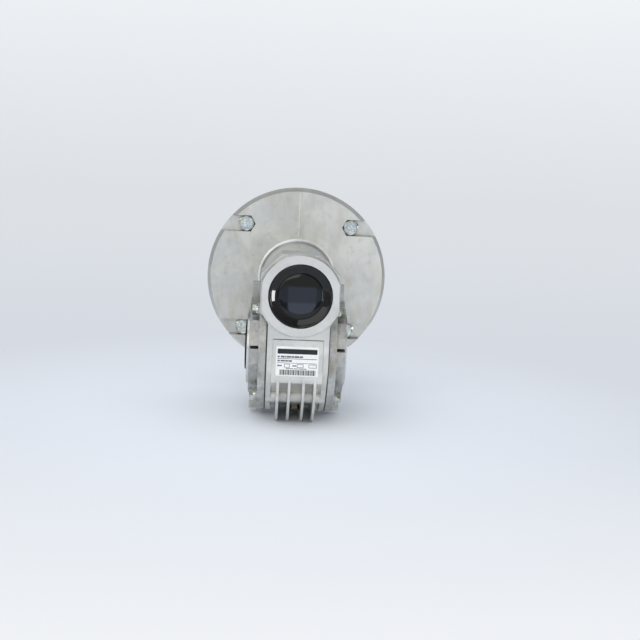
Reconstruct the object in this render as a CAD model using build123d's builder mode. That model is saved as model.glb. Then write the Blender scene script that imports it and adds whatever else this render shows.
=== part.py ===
from build123d import *
from math import acos, asin, atan, cos, pi, radians, sin, sqrt, tan
import os

# Worm gearbox with a hollow output shaft and a flange for a foot-less electric motor.
# X is the output axis, the worm lies along Y above it, and the motor bolts on at +Y.
# The origin is the middle of the output bore. Millimetres.

# Worm and wheel
axial_module = 2.5
worm_starts = 2
wheel_teeth = 40
worm_pitch_radius = 12.5
pressure_angle = radians(20)
tip_clearance = 0.5
flank_clearance = 0.18
wheel_half_width = 10
wheel_outer_overhang = 1.5
thread_length = 46
worm_lead = pi * axial_module * worm_starts
worm_tip_radius = worm_pitch_radius + axial_module
worm_root_radius = worm_pitch_radius - axial_module - tip_clearance
wheel_pitch_radius = axial_module * wheel_teeth / 2
centre_distance = wheel_pitch_radius + worm_pitch_radius
wheel_tip_radius = wheel_pitch_radius + axial_module
wheel_outer_radius = wheel_tip_radius + wheel_outer_overhang
rim_wall = 7
rim_seat_radius = centre_distance - worm_tip_radius - tip_clearance - rim_wall
rim_pin_radius = 2.5
rim_pin_count = 3

# Fits between pieces
press_fit_gap = 0.02
running_gap = 0.3
screw_gap = 0.05

# Gear case
case_half_width = 30.5
cavity_radius = 56
drum_radius = 62
rim_radius = 67
rim_width = 5.5
base_drop = 72
pad_front = 72.6
pad_step = 1.4
pad_step_height = 19
pad_low_edge = -20
pad_draft_depth = 1.6
pad_draft_drop = 4
front_top = 40
front_low_edge = -12
front_round = 14
fin_thickness = 2.7
fin_inner = 7
fin_outer = 18.2
fin_radius = 74
fin_centre_drop = 4.5
worm_chamber_radius = 22

# Worm housing on top of the drum
octagon_half_width = 38.5
octagon_top_half_width = 18.8
octagon_front = -64
octagon_rear = -14
tube_radius = 39
tube_end = 74
tube_joint_chamfer = 1
boss_radius = 40
boss_half_width = 38
boss_front = -80
boss_edge = 1.2

# Covers
cover_flange_width = 8
cover_hub_radius = 50
cover_face = 48
cover_joint_chamfer = 0.8
cover_pocket_gap = 0.5
spigot_radius = 40
spigot_length = 2.5
cover_rim_width = 3.5
cover_rim_thickness = 6
lug_width = 15
lug_radius = 66.5
lug_face = 47
lug_hole_circle = 57.5
lug_hole_radius = 3.4
lug_hole_depth = 14
web_radius = 62
web_start_angle = 9
web_end_angle = 33
cover_bolt_circle = 61
cover_bolt_angle = 45
bolt_boss_radius = 7
bolt_boss_height = 2
cover_bolt_radius = 3
cover_bolt_length = 20
cover_bolt_flats = 10
cover_bolt_head = 4
washer_radius = 5.9
washer_thickness = 1.6

# Output shaft, bearings and seals
output_bore_radius = 12.5
output_key_width = 8
output_key_height = 15.8
output_journal_radius = 20
shaft_half_length = 51
hub_shoulder_radius = 24
bearing_shoulder = 23.5
output_bearing_width = 15
output_bearing_radius = 34
output_race_radius = 24.5
output_seal_radius = 26
output_seal_width = 7
output_seal_start = 42.5
bearing_lip_radius = 30
bearing_lip_width = 2
bearing_wall = 6
dust_cap_wall = 2
dust_cap_thickness = 1.3

# Worm shaft, its bearings and seals
motor_bore_radius = 9.5
motor_bore_depth = 42
motor_key_width = 6
motor_key_height = 12.3
worm_journal_radius = 15
worm_shoulder_radius = 18
worm_shoulder_width = 3
worm_neck_length = 6
sleeve_end = 96
front_bearing_seat = -53
front_bearing_width = 16
front_bearing_radius = 31
rear_bearing_seat = 53
rear_bearing_width = 13
rear_bearing_radius = 27.5
worm_race_radius = 19.5
circlip_thickness = 1.8
circlip_groove = 1.2
circlip_width = 3.5
worm_ring_height = 2
worm_ring_groove = 0.8
input_seal_radius = 23.5
input_seal_width = 7
input_seal_start = 75
end_cap_rear = -74
end_cap_inset = 0.6
end_cap_wall = 2.6
end_cap_plate = 2
end_cap_step_radius = 24
end_cap_step = 1

# Motor flange
flange_radius = 100
flange_front = 80
motor_face = 102
flange_edge_draft = 4
flange_edge_depth = 8
hub_round = 5
pilot_radius = 65
pilot_depth = 5
web_recess_inner = 45
web_recess_outer = 61
web_recess_depth = 8
web_rib_count = 4
web_rib_width = 5
motor_bolt_margin = 17.5
motor_bolt_circle = flange_radius - motor_bolt_margin
motor_bolt_radius = 5
motor_bolt_hole_radius = 5.5
motor_bolt_flats = 16
motor_bolt_head = 6.4
motor_bolt_length = 35
motor_bolt_shank_radius = 4.9
motor_bolt_shank_length = 13
pocket_side_gap = 0.8
pocket_depth = 10
flange_screw_circle = 33.2
flange_screw_radius = 3
flange_screw_length = 26
flange_screw_head_radius = 5
flange_screw_head = 6
flange_screw_socket = 5
flange_screw_count = 4
flange_screw_seat = 88
screw_head_gap = 0.5

# Oil plugs, each set square to the drum at its own angle below the horizontal
plug_radius = 4
plug_length = 7
plug_flats = 10
plug_head = 4.5
plug_boss_radius = 7
plug_boss_reach = 64
drain_angle = 242
level_angle = -12

# Places worked out from the sizes above
cover_seat_x = case_half_width + cover_flange_width
spigot_face = cover_face + spigot_length
bearing_outer_x = bearing_shoulder + output_bearing_width
bolt_seat_x = cover_seat_x + bolt_boss_height
pocket_floor = flange_front + pocket_depth
pilot_floor = motor_face - pilot_depth
worm_axis = Axis((0, 0, centre_distance), (0, 1, 0))
worm_section = Plane(origin=(0, 0, centre_distance), x_dir=(0, 1, 0), z_dir=(1, 0, 0))


def cross_output(x):
    """A plane across the output axis. Its x is Y and its y is Z."""
    return Plane.YZ.offset(x)


def cross_worm(y):
    """A plane across the worm that faces the front. Its x is X and its y is Z."""
    return Plane(origin=(0, y, centre_distance), x_dir=(1, 0, 0), z_dir=(0, -1, 0))


def output_ring(x_start, width, bore, outer):
    """A plain ring round the output axis."""
    with BuildPart() as ring:
        with BuildSketch(cross_output(x_start)):
            Circle(outer)
            Circle(bore, mode=Mode.SUBTRACT)
        extrude(amount=width)
    return ring


def worm_ring(y_rear, width, bore, outer):
    """A plain ring round the worm axis."""
    with BuildPart() as ring:
        with BuildSketch(cross_worm(y_rear)):
            Circle(outer)
            Circle(bore, mode=Mode.SUBTRACT)
        extrude(amount=width)
    return ring


def mirrored(piece):
    """The same piece on the other side of the gearbox."""
    with BuildPart() as other:
        mirror(piece.part, about=Plane.YZ)
    return other


def plug_plane(angle, reach):
    """A plane square to the drum at an angle from +Y, at a distance from the output axis."""
    out = Vector(0, cos(radians(angle)), sin(radians(angle)))
    return Plane(origin=out * reach, x_dir=(1, 0, 0), z_dir=out)


# Gear case: drum, bolting rims, label pad, cooling fins and worm housing in one casting
with BuildPart() as gear_case:
    with BuildSketch(cross_output(-case_half_width)):
        Circle(drum_radius)
    extrude(amount=2 * case_half_width)
    # bolting rims, which swell into the flat front below the worm
    front_face = -pad_front - pad_step
    corner_reach = sqrt(front_face**2 + front_low_edge**2)
    foot_angle = pi + atan(front_low_edge / front_face) + acos(rim_radius / corner_reach)
    foot_y = rim_radius * cos(foot_angle)
    foot_z = rim_radius * sin(foot_angle)
    for x in (-case_half_width, case_half_width - rim_width):
        with BuildSketch(cross_output(x)):
            with BuildLine():
                FilletPolyline(
                    (-cavity_radius + rim_width, front_top),
                    (front_face, front_top),
                    (front_face, front_low_edge),
                    (foot_y, foot_z),
                    (-cavity_radius + rim_width, foot_z),
                    radius=(0, 0, front_round, 0, 0),
                    close=True,
                )
            make_face()
            Circle(rim_radius)
        extrude(amount=rim_width)
    # bars across the drum that carry the cover bolts
    with BuildSketch(cross_output(-case_half_width)):
        with PolarLocations(cover_bolt_circle, 4, start_angle=cover_bolt_angle):
            Circle(bolt_boss_radius)
    extrude(amount=2 * case_half_width)
    # label pad between the rims, with a step above the label's place
    pad_half_width = case_half_width - rim_width
    bar_middle = -cover_bolt_circle * sin(radians(cover_bolt_angle))
    with BuildSketch(cross_output(-pad_half_width)):
        with BuildLine():
            Polyline(
                (-cavity_radius, front_top),
                (front_face, front_top),
                (front_face, pad_step_height),
                (-pad_front, pad_step_height),
                (-pad_front, pad_low_edge),
                (pad_draft_depth - pad_front, pad_low_edge - pad_draft_drop),
                (bar_middle - bolt_boss_radius + 1, bar_middle + bolt_boss_radius - 2),
                (bar_middle, bar_middle),
                (bar_middle, front_top),
                close=True,
            )
        make_face()
    extrude(amount=2 * pad_half_width)
    # fins that start flush with the pad, run under the drum and end flat on the base
    for middle in (-fin_outer, -fin_inner, fin_inner, fin_outer):
        with BuildSketch(cross_output(middle - fin_thickness / 2)):
            with Locations((-fin_centre_drop, -fin_centre_drop)):
                Circle(fin_radius)
            with Locations((-pad_front, -base_drop)):
                Rectangle(
                    4 * fin_radius,
                    base_drop + pad_low_edge,
                    align=(Align.MIN, Align.MIN),
                    mode=Mode.INTERSECT,
                )
        extrude(amount=fin_thickness)
    # worm housing: octagon in front, round tube behind, round boss with flat sides at the front end
    with BuildSketch(cross_worm(octagon_rear)) as octagon:
        Rectangle(2 * octagon_half_width, 2 * octagon_half_width)
        chamfer(octagon.vertices(), octagon_half_width - octagon_top_half_width)
    extrude(amount=octagon_rear - octagon_front)
    with BuildSketch(cross_worm(tube_end)):
        Circle(tube_radius)
    extrude(amount=tube_end - octagon_rear)
    chamfer(gear_case.faces().sort_by(Axis.Y)[-1].edges(), tube_joint_chamfer)
    with BuildSketch(cross_worm(octagon_front)):
        Circle(boss_radius)
        Rectangle(2 * boss_half_width, 2 * boss_radius, mode=Mode.INTERSECT)
    extrude(amount=octagon_front - boss_front)
    chamfer(gear_case.faces().sort_by(Axis.Y)[0].edges(), boss_edge)
    # flat seats for the covers, cut into the worm housing where it overhangs them
    for x in (-case_half_width - 2 * rim_width, case_half_width):
        with BuildSketch(cross_output(x)):
            Circle(rim_radius + cover_pocket_gap)
        extrude(amount=2 * rim_width, mode=Mode.SUBTRACT)
    # plug bosses
    for angle in (drain_angle, level_angle):
        with BuildSketch(plug_plane(angle, cavity_radius)):
            Circle(plug_boss_radius)
        extrude(amount=plug_boss_reach - cavity_radius)
    # wheel cavity, worm chamber and the two bearing bores
    with BuildSketch(cross_output(-case_half_width)):
        Circle(cavity_radius)
    extrude(amount=2 * case_half_width, mode=Mode.SUBTRACT)
    with BuildSketch(cross_worm(rear_bearing_seat)):
        Circle(worm_chamber_radius)
    extrude(amount=rear_bearing_seat - front_bearing_seat, mode=Mode.SUBTRACT)
    with BuildSketch(cross_worm(front_bearing_seat)):
        Circle(front_bearing_radius + press_fit_gap)
    extrude(amount=front_bearing_seat - boss_front, mode=Mode.SUBTRACT)
    with BuildSketch(cross_worm(tube_end)):
        Circle(rear_bearing_radius + press_fit_gap)
    extrude(amount=tube_end - rear_bearing_seat, mode=Mode.SUBTRACT)
    # groove for the front retaining ring
    circlip_rear = front_bearing_seat - front_bearing_width
    with BuildSketch(cross_worm(circlip_rear)):
        Circle(front_bearing_radius + circlip_groove)
    extrude(amount=circlip_thickness, mode=Mode.SUBTRACT)
    # tapped holes: cover bolts, flange screws and plugs
    tap_depth = cover_bolt_length
    for plane in (cross_output(case_half_width), -cross_output(-case_half_width)):
        with BuildSketch(plane):
            with PolarLocations(cover_bolt_circle, 4, start_angle=cover_bolt_angle):
                Circle(cover_bolt_radius)
        extrude(amount=-tap_depth, mode=Mode.SUBTRACT)
    with BuildSketch(cross_worm(tube_end)):
        with PolarLocations(flange_screw_circle, flange_screw_count, start_angle=45):
            Circle(flange_screw_radius)
    extrude(amount=flange_screw_length - (flange_screw_seat - tube_end) + 2, mode=Mode.SUBTRACT)
    for angle in (drain_angle, level_angle):
        with BuildSketch(plug_plane(angle, plug_boss_reach)):
            Circle(plug_radius)
        extrude(amount=-(plug_boss_reach - cavity_radius + 2), mode=Mode.SUBTRACT)


def oil_plug(angle):
    """A hexagon plug screwed into its boss, with two flats facing the fins beside it."""
    with BuildPart() as plug:
        with BuildSketch(plug_plane(angle, plug_boss_reach)):
            RegularPolygon(plug_flats / 2, 6, major_radius=False, rotation=30)
        extrude(amount=plug_head)
        with BuildSketch(plug_plane(angle, plug_boss_reach)):
            Circle(plug_radius - screw_gap)
        extrude(amount=-plug_length)
    return plug


drain_plug = oil_plug(drain_angle)
level_plug = oil_plug(level_angle)

# Right cover: turned body with bearing seat, seal bore and machined spigot, then lugs and webs
with BuildPart() as right_cover:
    hub_inner_x = bearing_shoulder + 1.5
    ring_inner_x = case_half_width - cover_rim_width
    joint_radius = cavity_radius - press_fit_gap
    with BuildSketch(Plane.XZ):
        with BuildLine():
            Polyline(
                (hub_inner_x, output_bearing_radius + press_fit_gap),
                (hub_inner_x, output_bearing_radius + bearing_wall),
                (case_half_width, output_bearing_radius + bearing_wall),
                (case_half_width, joint_radius - cover_rim_thickness),
                (ring_inner_x, joint_radius - cover_rim_thickness),
                (ring_inner_x, joint_radius),
                (case_half_width, joint_radius),
                (case_half_width, rim_radius - cover_joint_chamfer),
                (case_half_width + cover_joint_chamfer, rim_radius),
                (cover_seat_x, rim_radius),
                (cover_seat_x, cover_hub_radius),
                (cover_face, cover_hub_radius),
                (cover_face, spigot_radius),
                (spigot_face, spigot_radius),
                (spigot_face, output_seal_radius + press_fit_gap),
                (bearing_outer_x + bearing_lip_width, output_seal_radius + press_fit_gap),
                (bearing_outer_x + bearing_lip_width, bearing_lip_radius),
                (bearing_outer_x, bearing_lip_radius),
                (bearing_outer_x, output_bearing_radius + press_fit_gap),
                close=True,
            )
        make_face()
    revolve(axis=Axis.X)
    with BuildSketch(cross_output(cover_seat_x)):
        with PolarLocations(cover_bolt_circle, 4, start_angle=cover_bolt_angle):
            Circle(bolt_boss_radius)
        Circle(rim_radius, mode=Mode.INTERSECT)
    extrude(amount=bolt_boss_height)
    # four lugs with a tapped hole each
    with BuildSketch(cross_output(cover_seat_x)):
        Rectangle(2 * lug_radius, lug_width)
        Rectangle(lug_width, 2 * lug_radius)
        Circle(lug_radius, mode=Mode.INTERSECT)
        Circle(cover_hub_radius - 1, mode=Mode.SUBTRACT)
    extrude(amount=lug_face - cover_seat_x)
    # thick webs above the front and rear lugs
    with BuildSketch(cross_output(cover_seat_x)):
        low = (cos(radians(web_start_angle)), sin(radians(web_start_angle)))
        high = (cos(radians(web_end_angle)), sin(radians(web_end_angle)))
        far = 2 * web_radius
        with BuildLine():
            Polyline((0, 0), (low[0] * far, low[1] * far), (high[0] * far, high[1] * far), close=True)
        make_face()
        mirror(about=Plane.YZ)
        Circle(web_radius, mode=Mode.INTERSECT)
        Circle(cover_hub_radius - 1, mode=Mode.SUBTRACT)
    extrude(amount=lug_face - cover_seat_x)
    # tapped lug holes and clearance holes for the cover bolts
    with BuildSketch(cross_output(lug_face)):
        with PolarLocations(lug_hole_circle, 4):
            Circle(lug_hole_radius)
    extrude(amount=-lug_hole_depth, mode=Mode.SUBTRACT)
    with BuildSketch(cross_output(case_half_width)):
        with PolarLocations(cover_bolt_circle, 4, start_angle=cover_bolt_angle):
            Circle(cover_bolt_radius + running_gap)
    extrude(amount=bolt_seat_x - case_half_width, mode=Mode.SUBTRACT)

left_cover = mirrored(right_cover)

# Cover bolts and their washers
with BuildPart() as right_cover_washers:
    with BuildSketch(cross_output(bolt_seat_x)):
        with PolarLocations(cover_bolt_circle, 4, start_angle=cover_bolt_angle):
            Circle(washer_radius)
            Circle(cover_bolt_radius + running_gap, mode=Mode.SUBTRACT)
    extrude(amount=washer_thickness)

with BuildPart() as right_cover_bolts:
    head_x = bolt_seat_x + washer_thickness
    with BuildSketch(cross_output(head_x)):
        with PolarLocations(cover_bolt_circle, 4, start_angle=cover_bolt_angle, rotate=False):
            RegularPolygon(cover_bolt_flats / 2, 6, major_radius=False, rotation=30)
    extrude(amount=cover_bolt_head)
    with BuildSketch(cross_output(head_x)):
        with PolarLocations(cover_bolt_circle, 4, start_angle=cover_bolt_angle):
            Circle(cover_bolt_radius - screw_gap)
    extrude(amount=-cover_bolt_length)

left_cover_washers = mirrored(right_cover_washers)
left_cover_bolts = mirrored(right_cover_bolts)

# Output bearings: outer rings with their seals and balls stay in the covers, inner rings turn
right_bearing_outer = output_ring(
    bearing_shoulder,
    output_bearing_width,
    output_race_radius + running_gap,
    output_bearing_radius,
)
right_bearing_inner = output_ring(
    bearing_shoulder,
    output_bearing_width,
    output_journal_radius + press_fit_gap,
    output_race_radius,
)
left_bearing_outer = mirrored(right_bearing_outer)
left_bearing_inner = mirrored(right_bearing_inner)

# Output oil seals
right_oil_seal = output_ring(
    output_seal_start,
    output_seal_width,
    output_journal_radius + press_fit_gap,
    output_seal_radius,
)
left_oil_seal = mirrored(right_oil_seal)

# Hollow output shaft with the wheel's hub, its bore and keyway
with BuildPart() as output_shaft:
    with BuildSketch(cross_output(-shaft_half_length)):
        Circle(output_journal_radius)
    extrude(amount=2 * shaft_half_length)
    with BuildSketch(cross_output(-bearing_shoulder)):
        Circle(hub_shoulder_radius)
    extrude(amount=2 * bearing_shoulder)
    with BuildSketch(cross_output(-wheel_half_width)):
        Circle(rim_seat_radius)
    extrude(amount=2 * wheel_half_width)
    with BuildSketch(cross_output(-shaft_half_length)):
        Circle(output_bore_radius)
        Rectangle(output_key_width, output_key_height, align=(Align.CENTER, Align.MIN))
    extrude(amount=2 * shaft_half_length, mode=Mode.SUBTRACT)
    with BuildSketch(cross_output(-wheel_half_width)):
        with PolarLocations(rim_seat_radius, rim_pin_count):
            Circle(rim_pin_radius)
    extrude(amount=2 * wheel_half_width, mode=Mode.SUBTRACT)


def thread_half_width(radius):
    """Half the worm thread's thickness along the worm, at a radius: straight flanks."""
    return pi * axial_module / 4 - (radius - worm_pitch_radius) * tan(pressure_angle)


def space_edge(x, radius, side):
    """The furthest angle from the top that a flank of the worm cuts into the wheel at a radius.

    In the plane at x the turning worm is a rack that slides along Y while the wheel rolls with it.
    Each point of the rack's flank reaches the radius twice, once on either side of the middle.
    """
    tip_drop = sqrt(worm_tip_radius**2 - x * x)
    top_drop = min(centre_distance - radius, tip_drop)
    angles = []
    for i in range(flank_samples + 1):
        drop = tip_drop + (top_drop - tip_drop) * i / flank_samples
        thickness = thread_half_width(sqrt(x * x + drop * drop)) + flank_clearance
        y = side * thickness - worm_lead / (2 * pi) * atan(x / drop)
        reach = sqrt(max(radius**2 - (centre_distance - drop) ** 2, 0))
        for touch_y in (reach, -reach):
            angles.append(asin(touch_y / radius) - (touch_y - y) / wheel_pitch_radius)
    return max(angles) if side > 0 else min(angles)


def space_flank(x, side):
    """Points of one side of a tooth space in the plane at x, from its root outwards."""
    root = centre_distance - sqrt((worm_tip_radius + tip_clearance) ** 2 - x * x)
    first = centre_distance - sqrt(worm_tip_radius**2 - x * x)
    last = wheel_outer_radius + 1
    points = []
    for i in range(flank_steps + 1):
        radius = first + (last - first) * i / flank_steps
        angle = space_edge(x, radius, side)
        drawn = root if i == 0 else radius
        points.append((drawn * sin(angle), drawn * cos(angle)))
    return points


# One tooth space of the wheel, lofted through sections across its width
flank_samples = 60
flank_steps = 4
section_places = [wheel_half_width * 1.06 * i for i in (-1, 0, 1)]
with BuildPart() as tooth_space:
    for x in section_places:
        rear_flank = space_flank(x, 1)
        front_flank = space_flank(x, -1)
        with BuildSketch(cross_output(x)):
            with BuildLine():
                Spline(*rear_flank)
                Line(rear_flank[-1], front_flank[-1])
                Spline(*reversed(front_flank))
                Line(front_flank[0], rear_flank[0])
            make_face()
    loft()

# Bronze rim with its throat turned to the worm's shape and the tooth spaces cut
tooth_spaces = [Rot(X=360 * i / wheel_teeth) * tooth_space.part for i in range(wheel_teeth)]
with BuildPart() as wheel_rim:
    with BuildSketch(cross_output(-wheel_half_width)):
        Circle(wheel_outer_radius)
    extrude(amount=2 * wheel_half_width)
    with BuildSketch(Plane.XZ):
        with Locations((0, centre_distance)):
            Circle(centre_distance - wheel_tip_radius)
    revolve(axis=Axis.X, mode=Mode.SUBTRACT)
    add(tooth_spaces, mode=Mode.SUBTRACT)
    with BuildSketch(cross_output(-wheel_half_width)):
        Circle(rim_seat_radius + press_fit_gap)
        with PolarLocations(rim_seat_radius, rim_pin_count):
            Circle(rim_pin_radius)
    extrude(amount=2 * wheel_half_width, mode=Mode.SUBTRACT)

with BuildPart() as rim_pins:
    with BuildSketch(cross_output(-wheel_half_width)):
        with PolarLocations(rim_seat_radius, rim_pin_count):
            Circle(rim_pin_radius - press_fit_gap)
    extrude(amount=2 * wheel_half_width)

# Worm thread: one start, swept with its straight-sided section along the helix
with BuildLine() as thread_path:
    Helix(worm_lead, thread_length, worm_pitch_radius, center=(0, 0, -thread_length / 2))
with BuildPart() as thread:
    with BuildSketch(Plane.XZ):
        buried = worm_root_radius - tip_clearance
        with BuildLine():
            Polyline(
                (buried, -thread_length / 2 - thread_half_width(buried)),
                (worm_tip_radius, -thread_length / 2 - thread_half_width(worm_tip_radius)),
                (worm_tip_radius, -thread_length / 2 + thread_half_width(worm_tip_radius)),
                (buried, -thread_length / 2 + thread_half_width(buried)),
                close=True,
            )
        make_face()
    sweep(path=thread_path.wires()[0], is_frenet=True)

# The threads turn so that one of them is centred over the wheel at rest
worm_frame = Plane(origin=(0, 0, centre_distance), x_dir=(0, 0, -1), z_dir=(0, 1, 0))
first_turn = -180 * thread_length / worm_lead
threads = [
    worm_frame.location * Rot(Z=first_turn + 360 * i / worm_starts) * thread.part
    for i in range(worm_starts)
]
worm_front_end = circlip_rear - circlip_thickness - 1.7
with BuildPart() as worm_shaft:
    with BuildSketch(worm_section):
        neck_reach = rear_bearing_seat - worm_shoulder_width - worm_neck_length
        with BuildLine():
            Polyline(
                (worm_front_end, 0),
                (worm_front_end, worm_journal_radius),
                (front_bearing_seat, worm_journal_radius),
                (front_bearing_seat, worm_shoulder_radius),
                (front_bearing_seat + worm_shoulder_width, worm_shoulder_radius),
                (-neck_reach, worm_root_radius),
                (neck_reach, worm_root_radius),
                (rear_bearing_seat - worm_shoulder_width, worm_shoulder_radius),
                (rear_bearing_seat, worm_shoulder_radius),
                (rear_bearing_seat, worm_journal_radius),
                (sleeve_end, worm_journal_radius),
                (sleeve_end, 0),
                close=True,
            )
        make_face()
    revolve(axis=worm_axis)
    add(threads)
    with BuildSketch(cross_worm(sleeve_end)):
        Circle(motor_bore_radius)
        Rectangle(motor_key_width, motor_key_height, align=(Align.CENTER, Align.MIN))
    extrude(amount=motor_bore_depth, mode=Mode.SUBTRACT)
    with BuildSketch(cross_worm(circlip_rear)):
        Circle(worm_journal_radius + 1)
        Circle(worm_journal_radius - worm_ring_groove, mode=Mode.SUBTRACT)
    extrude(amount=circlip_thickness, mode=Mode.SUBTRACT)

# Worm bearings
front_bearing_outer = worm_ring(
    front_bearing_seat,
    front_bearing_width,
    worm_race_radius + running_gap,
    front_bearing_radius,
)
front_bearing_inner = worm_ring(
    front_bearing_seat,
    front_bearing_width,
    worm_journal_radius + press_fit_gap,
    worm_race_radius,
)
rear_bearing_front = rear_bearing_seat + rear_bearing_width
rear_bearing_outer = worm_ring(
    rear_bearing_front,
    rear_bearing_width,
    worm_race_radius + running_gap,
    rear_bearing_radius,
)
rear_bearing_inner = worm_ring(
    rear_bearing_front,
    rear_bearing_width,
    worm_journal_radius + press_fit_gap,
    worm_race_radius,
)

# Retaining rings, each open at one side
with BuildPart() as case_retaining_ring:
    with BuildSketch(cross_worm(circlip_rear)):
        Circle(front_bearing_radius + circlip_groove - screw_gap)
        Circle(front_bearing_radius - circlip_width + circlip_groove, mode=Mode.SUBTRACT)
        with Locations((0, -front_bearing_radius)):
            Rectangle(4 * circlip_width, 4 * circlip_width, mode=Mode.SUBTRACT)
    extrude(amount=circlip_thickness - screw_gap)

with BuildPart() as worm_retaining_ring:
    with BuildSketch(cross_worm(circlip_rear)):
        Circle(worm_journal_radius + worm_ring_height)
        Circle(worm_journal_radius - worm_ring_groove + screw_gap, mode=Mode.SUBTRACT)
        with Locations((0, -worm_journal_radius)):
            Rectangle(3 * worm_ring_height, 3 * worm_ring_height, mode=Mode.SUBTRACT)
    extrude(amount=circlip_thickness - screw_gap)

# Input oil seal in the motor flange
input_oil_seal = worm_ring(
    input_seal_start + input_seal_width,
    input_seal_width,
    worm_journal_radius + press_fit_gap,
    input_seal_radius,
)

# End cap pressed into the worm bore: rim, plate and a raised round middle
with BuildPart() as worm_end_cap:
    cap_front = boss_front + end_cap_inset
    with BuildSketch(worm_section):
        with BuildLine():
            Polyline(
                (cap_front + end_cap_step, 0),
                (cap_front + end_cap_step, end_cap_step_radius),
                (cap_front + 2 * end_cap_step, end_cap_step_radius),
                (cap_front + 2 * end_cap_step, front_bearing_radius - end_cap_wall),
                (cap_front, front_bearing_radius - end_cap_wall),
                (cap_front, front_bearing_radius),
                (end_cap_rear, front_bearing_radius),
                (end_cap_rear, front_bearing_radius - end_cap_wall),
                (cap_front + 2 * end_cap_step + end_cap_plate, front_bearing_radius - end_cap_wall),
                (cap_front + 2 * end_cap_step + end_cap_plate, 0),
                close=True,
            )
        make_face()
    revolve(axis=worm_axis)

# Dust cap over the left end of the output shaft
with BuildPart() as output_dust_cap:
    cap_inner_x = shaft_half_length + running_gap
    with BuildSketch(Plane.XZ):
        with BuildLine():
            Polyline(
                (-cap_inner_x - dust_cap_thickness, 0),
                (-cap_inner_x - dust_cap_thickness, output_seal_radius),
                (-output_seal_start - output_seal_width, output_seal_radius),
                (-output_seal_start - output_seal_width, output_seal_radius - dust_cap_wall),
                (-cap_inner_x, output_seal_radius - dust_cap_wall),
                (-cap_inner_x, 0),
                close=True,
            )
        make_face()
    revolve(axis=Axis.X)

# Motor flange: round plate with hub, locating spigot, pilot recess and four open hexagon pockets
with BuildPart() as motor_flange:
    spigot_end = rear_bearing_front
    with BuildSketch(cross_worm(motor_face)):
        Circle(flange_radius)
    extrude(amount=motor_face - flange_front)
    front_disc = motor_flange.faces().sort_by(Axis.Y)[0]
    chamfer(front_disc.edges(), flange_edge_draft, flange_edge_depth, reference=front_disc)
    with BuildSketch(worm_section):
        with BuildLine():
            start = Line((tube_end, 0), (tube_end, tube_radius - tube_joint_chamfer))
            joint = Line(start @ 1, (tube_end + tube_joint_chamfer, tube_radius))
            swell = JernArc(joint @ 1, (1, 0), hub_round, 90)
            Line(swell @ 1, (flange_front + 1, tube_radius + hub_round))
            Line((flange_front + 1, tube_radius + hub_round), (flange_front + 1, 0))
            Line((flange_front + 1, 0), (tube_end, 0))
        make_face()
    revolve(axis=worm_axis)
    with BuildSketch(cross_worm(tube_end)):
        Circle(rear_bearing_radius)
    extrude(amount=tube_end - spigot_end)
    # pilot recess for the motor and a ring of pockets behind the web
    with BuildSketch(cross_worm(motor_face)):
        Circle(pilot_radius)
    extrude(amount=pilot_depth, mode=Mode.SUBTRACT)
    with BuildSketch(cross_worm(pilot_floor)):
        Circle(web_recess_outer)
        Circle(web_recess_inner, mode=Mode.SUBTRACT)
        with PolarLocations((web_recess_inner + web_recess_outer) / 2, web_rib_count):
            Rectangle(2 * (web_recess_outer - web_recess_inner), web_rib_width, mode=Mode.SUBTRACT)
    extrude(amount=web_recess_depth, mode=Mode.SUBTRACT)
    with BuildSketch(cross_worm(pilot_floor)):
        Circle(input_seal_radius + press_fit_gap)
    extrude(amount=pilot_floor - spigot_end, mode=Mode.SUBTRACT)
    # bolt pockets run out sideways through the edge and keep each head from turning
    with BuildSketch(cross_worm(pocket_floor)):
        for angle in (45, 135, 225, 315):
            bolt_x = motor_bolt_circle * cos(radians(angle))
            bolt_z = motor_bolt_circle * sin(radians(angle))
            side = 1 if bolt_x > 0 else -1
            pocket_width = motor_bolt_flats + 2 * pocket_side_gap
            with Locations((bolt_x, bolt_z)):
                RegularPolygon(pocket_width / 2, 6, major_radius=False)
            outer_x = side * flange_radius
            with Locations(((bolt_x + outer_x) / 2, bolt_z)):
                Rectangle(abs(outer_x - bolt_x), pocket_width)
    extrude(amount=pocket_depth + 1, mode=Mode.SUBTRACT)
    with BuildSketch(cross_worm(motor_face)):
        with PolarLocations(motor_bolt_circle, 4, start_angle=45):
            Circle(motor_bolt_hole_radius)
    extrude(amount=motor_face - pocket_floor, mode=Mode.SUBTRACT)
    # sunk screws that hold the flange to the case
    with BuildSketch(cross_worm(pilot_floor)):
        with PolarLocations(flange_screw_circle, flange_screw_count, start_angle=45):
            Circle(flange_screw_head_radius + screw_head_gap)
    extrude(amount=pilot_floor - flange_screw_seat, mode=Mode.SUBTRACT)
    with BuildSketch(cross_worm(flange_screw_seat)):
        with PolarLocations(flange_screw_circle, flange_screw_count, start_angle=45):
            Circle(flange_screw_radius + running_gap)
    extrude(amount=flange_screw_seat - tube_end, mode=Mode.SUBTRACT)

with BuildPart() as flange_screws:
    with BuildSketch(cross_worm(flange_screw_seat + flange_screw_head)):
        with PolarLocations(flange_screw_circle, flange_screw_count, start_angle=45):
            Circle(flange_screw_head_radius)
    extrude(amount=flange_screw_head)
    with BuildSketch(cross_worm(flange_screw_seat)):
        with PolarLocations(flange_screw_circle, flange_screw_count, start_angle=45):
            Circle(flange_screw_radius - screw_gap)
    extrude(amount=flange_screw_length)
    with BuildSketch(cross_worm(flange_screw_seat + flange_screw_head)):
        with PolarLocations(flange_screw_circle, flange_screw_count, start_angle=45):
            RegularPolygon(flange_screw_socket / 2, 6, major_radius=False)
    extrude(amount=flange_screw_head / 2, mode=Mode.SUBTRACT)

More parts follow.
